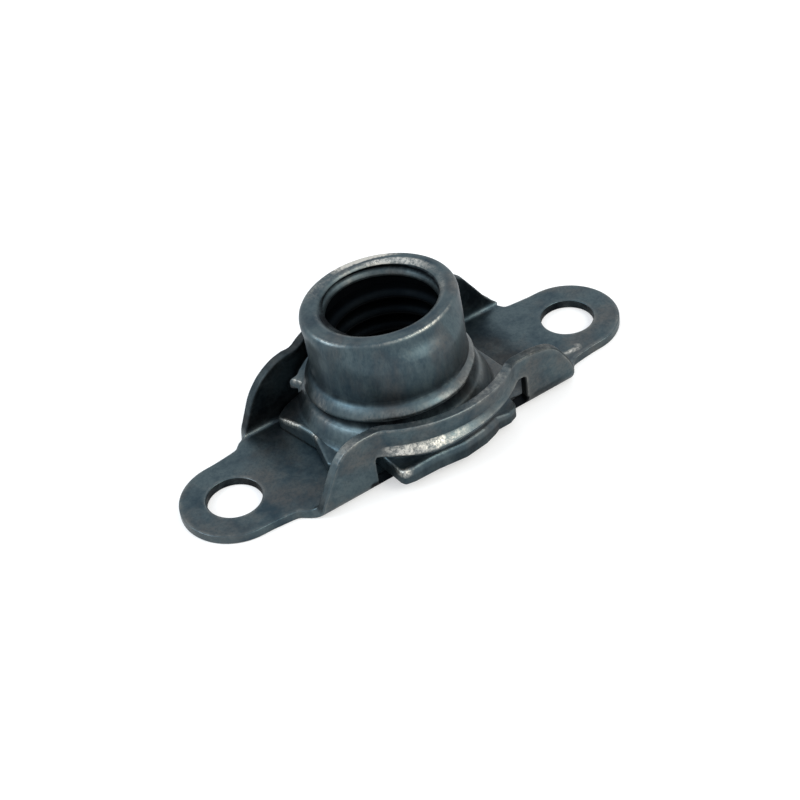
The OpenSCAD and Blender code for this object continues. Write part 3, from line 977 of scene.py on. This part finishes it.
def steel_material(name, colours, patch_scale, bump, shaded_all_over=False, stretch=(1, 1, 1)):
    """Phosphated steel for one piece; steel shaded all over takes painted shade, a near-black colour, all
    over.
    """
    material = bpy.data.materials.new(name)
    material.use_nodes = True
    tree = material.node_tree
    coat = tree.nodes.new("ShaderNodeGroup")
    coat.node_tree = bpy.data.node_groups.get("phosphate_coat") or coating_group()
    for label, value in (("Base", colours.base), ("Dark", colours.dark), ("Warm", colours.warm),
                         ("Worn and glint", colours.worn_and_glint)):
        coat.inputs[label].default_value = (*value, 1)
    coat.inputs["Patch scale"].default_value = patch_scale
    coat.inputs["Stretch"].default_value = stretch
    # Painted shade all over, or wear with painted glints and painted shade read from point attributes
    if shaded_all_over:
        coat.inputs["Painted shade"].default_value = 1.0
    else:
        for label, attribute in (("Wear and glint", "wear"), ("Painted shade", "painted_shade")):
            field = add_node(tree, "ShaderNodeAttribute", attribute_name=attribute)
            feed(tree, coat.inputs[label], field.outputs["Fac"])
    relief = add_node(tree, "ShaderNodeBump", {
        "Strength": bump, "Distance": RELIEF, "Height": coat.outputs["Height"]})
    shader = tree.nodes["Principled BSDF"].inputs
    shader["Metallic"].default_value = 1.0
    for label, value in (("Base Color", coat.outputs["Colour"]), ("Roughness", coat.outputs["Roughness"]),
                         ("Normal", relief.outputs["Normal"])):
        feed(tree, shader[label], value)
    return material


def floor_material(name, colour, seen, mirrored):
    """White to the camera and in reflections, pale and matt to light, and clear from below."""
    material = bpy.data.materials.new(name)
    material.use_nodes = True
    tree = material.node_tree
    tree.nodes.clear()
    path = tree.nodes.new("ShaderNodeLightPath").outputs
    in_steel = maths_in(tree)("MULTIPLY", path["Is Glossy Ray"], mirrored)
    strength = add_node(tree, "ShaderNodeMath", {0: path["Is Camera Ray"], 1: seen, 2: in_steel},
                        operation="MULTIPLY_ADD")
    matt = add_node(tree, "ShaderNodeBsdfDiffuse", {"Color": (*colour, 1)})
    glow = add_node(tree, "ShaderNodeEmission", {"Strength": strength.outputs[0]})
    both = add_node(tree, "ShaderNodeAddShader", {0: matt.outputs[0], 1: glow.outputs[0]})
    side = tree.nodes.new("ShaderNodeNewGeometry").outputs["Backfacing"]
    clear = tree.nodes.new("ShaderNodeBsdfTransparent").outputs[0]
    mix = add_node(tree, "ShaderNodeMixShader", {0: side, 1: both.outputs[0], 2: clear})
    add_node(tree, "ShaderNodeOutputMaterial", {"Surface": mix.outputs[0]})
    return material


# ---- the studio -------------------------------------------------------------

FLOOR_HALF = 1.5  # half the floor's side, in metres
FLOOR_LEVEL = -0.00002  # a hair below the cage, in metres
FLOOR_COLOUR = (0.62, 0.62, 0.62)
FLOOR_SEEN, FLOOR_MIRRORED = 0.45, 0.2  # the floor's glow to the camera and in the steel

CAMERA_PLACE = (-46.367, -80.613, 80.594)  # in millimetres
# The camera's directions to the right, down and ahead
CAMERA_AXES = ((0.81526541, -0.56918989, -0.10660764), (-0.44054128, -0.49012694, -0.75212962),
               (0.3758533, 0.66015033, -0.65033518))
CAMERA_CLIP = (0.005, 20.0)  # in metres
SENSOR = 36.0

LAMP_TARGET = Vector((0, 0, 0.004))
KEY_LAMP = {"size": 0.14, "place": (-0.25, 0.07, 0.19), "colour": (0.82, 0.92, 1.0)}
FILL_LAMP = {"size": 0.15, "place": (0.11, -0.2, 0.2), "colour": (1.0, 0.95, 0.84)}

# Colours of the surroundings from the horizon up
SKY = ((0.0, (0.95, 0.97, 1.0, 1)), (0.65, (0.94, 0.97, 1.0, 1)), (1.0, (0.78, 0.85, 0.95, 1)))


def add_object(name, data):
    """An object in the scene that shows the given data."""
    made = bpy.data.objects.new(name, data)
    bpy.context.scene.collection.objects.link(made)
    return made


def add_floor():
    """The white floor, staged and not part of the object."""
    mesh = bpy.data.meshes.new("studio_floor")
    corners = [(x * FLOOR_HALF, y * FLOOR_HALF, FLOOR_LEVEL) for x, y in ((-1, -1), (1, -1), (1, 1), (-1, 1))]
    mesh.from_pydata(corners, [], [(0, 1, 2, 3)])
    mesh.materials.append(floor_material("studio_white", FLOOR_COLOUR, FLOOR_SEEN, FLOOR_MIRRORED))
    add_object("studio_floor", mesh)


def add_camera(lens):
    """The camera, from its place and its three directions."""
    data = bpy.data.cameras.new("studio_camera")
    data.lens = lens
    data.sensor_width = SENSOR
    data.clip_start, data.clip_end = CAMERA_CLIP
    camera = add_object("studio_camera", data)
    right, down, ahead = (Vector(axis) for axis in CAMERA_AXES)
    camera.rotation_euler = Matrix((right, -down, -ahead)).transposed().to_euler()
    camera.location = [value * MM for value in CAMERA_PLACE]
    bpy.context.scene.camera = camera


def add_lamp(name, power, size, place, colour):
    """A square lamp turned towards the nut."""
    light = bpy.data.lights.new(name, "AREA")
    light.energy = power
    light.size = size
    light.color = colour
    lamp = add_object(name, light)
    lamp.location = place
    lamp.rotation_euler = (LAMP_TARGET - Vector(place)).to_track_quat("-Z", "Y").to_euler()


def add_sky():
    """Pale surroundings, a little bluer overhead."""
    world = bpy.data.worlds.new("studio_world")
    bpy.context.scene.world = world
    world.use_nodes = True
    tree = world.node_tree
    towards = tree.nodes.new("ShaderNodeTexCoord").outputs["Generated"]
    split = add_node(tree, "ShaderNodeSeparateXYZ", {0: towards})
    tones = add_node(tree, "ShaderNodeValToRGB", {"Fac": split.outputs["Z"]})
    (low, low_colour), (place, colour), (high, high_colour) = SKY
    elements = tones.color_ramp.elements
    elements[0].position, elements[0].color = low, low_colour
    elements[1].position, elements[1].color = high, high_colour
    elements.new(place).color = colour
    back = tree.nodes["Background"]
    back.inputs["Strength"].default_value = 1.0
    feed(tree, back.inputs["Color"], tones.outputs["Color"])


# ---- operators --------------------------------------------------------------


class OBJECT_OT_rivet_nut_cage(bpy.types.Operator):
    """Presses the sheet cage with its lugs, windows and bowed bands"""

    bl_idname = "object.rivet_nut_cage"
    bl_label = "Build cage"

    def execute(self, context):
        colours = context.scene.rivet_nut_finish
        steel = steel_material("phosphated_sheet", colours, patch_scale=420.0, bump=0.6)
        piece = build_cage(context.scene.rivet_nut_cage, steel)
        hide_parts("cage")
        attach(piece, "cage")
        return {"FINISHED"}


class OBJECT_OT_rivet_nut_element(bpy.types.Operator):
    """Turns the nut element: barrel, shoulder, collar and flange"""

    bl_idname = "object.rivet_nut_element"
    bl_label = "Build nut element"

    def execute(self, context):
        colours = context.scene.rivet_nut_finish
        steel = steel_material("phosphated_nut", colours, patch_scale=480.0, bump=0.6, stretch=(1, 1, 0.45))
        piece = build_nut(context.scene.rivet_nut_element, steel)
        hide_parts("nut_element")
        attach(piece, "nut")
        return {"FINISHED"}


class OBJECT_OT_rivet_nut_thread(bpy.types.Operator):
    """Sweeps the thread's ridge up the bore"""

    bl_idname = "object.rivet_nut_thread"
    bl_label = "Build thread"

    def execute(self, context):
        colours = context.scene.rivet_nut_finish
        # Painted shade all over the thread, to keep the bore dark
        steel = steel_material("thread_steel", colours, patch_scale=300.0, bump=0.3, shaded_all_over=True)
        piece = build_thread(context.scene.rivet_nut_element, steel)
        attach(piece, "nut")
        return {"FINISHED"}


class OBJECT_OT_rivet_nut_studio(bpy.types.Operator):
    """Adds the floor, the lamps, the surroundings and the camera"""

    bl_idname = "object.rivet_nut_studio"
    bl_label = "Build studio"

    def execute(self, context):
        studio = context.scene.rivet_nut_studio
        add_floor()
        add_camera(studio.lens)
        add_lamp("key_lamp", studio.key_power, **KEY_LAMP)
        add_lamp("fill_lamp", studio.fill_power, **FILL_LAMP)
        add_sky()
        context.scene.view_settings.view_transform = "Standard"
        return {"FINISHED"}


class VIEW3D_PT_rivet_nut(bpy.types.Panel):
    """Buttons that build each piece"""

    bl_idname = "VIEW3D_PT_rivet_nut"
    bl_label = "Rivet-on nut"
    bl_space_type = "VIEW_3D"
    bl_region_type = "UI"
    bl_category = "Rivet Nut"

    def draw(self, context):
        for operator in OPERATORS:
            self.layout.operator(operator.bl_idname)


OPERATORS = (OBJECT_OT_rivet_nut_studio, OBJECT_OT_rivet_nut_cage, OBJECT_OT_rivet_nut_element,
             OBJECT_OT_rivet_nut_thread)
SIZES = (("rivet_nut_cage", CageSizes), ("rivet_nut_element", NutSizes), ("rivet_nut_finish", FinishColours),
         ("rivet_nut_studio", StudioSizes))


def register():
    for name, group in SIZES:
        bpy.utils.register_class(group)
        setattr(bpy.types.Scene, name, PointerProperty(type=group))
    for item in (*OPERATORS, VIEW3D_PT_rivet_nut):
        bpy.utils.register_class(item)


def unregister():
    for item in reversed((*OPERATORS, VIEW3D_PT_rivet_nut)):
        bpy.utils.unregister_class(item)
    for name, group in reversed(SIZES):
        delattr(bpy.types.Scene, name)
        bpy.utils.unregister_class(group)


def main():
    register()
    bpy.ops.object.rivet_nut_studio()
    bpy.ops.object.rivet_nut_cage()
    bpy.ops.object.rivet_nut_element()
    bpy.ops.object.rivet_nut_thread()


if __name__ == "__main__":
    main()
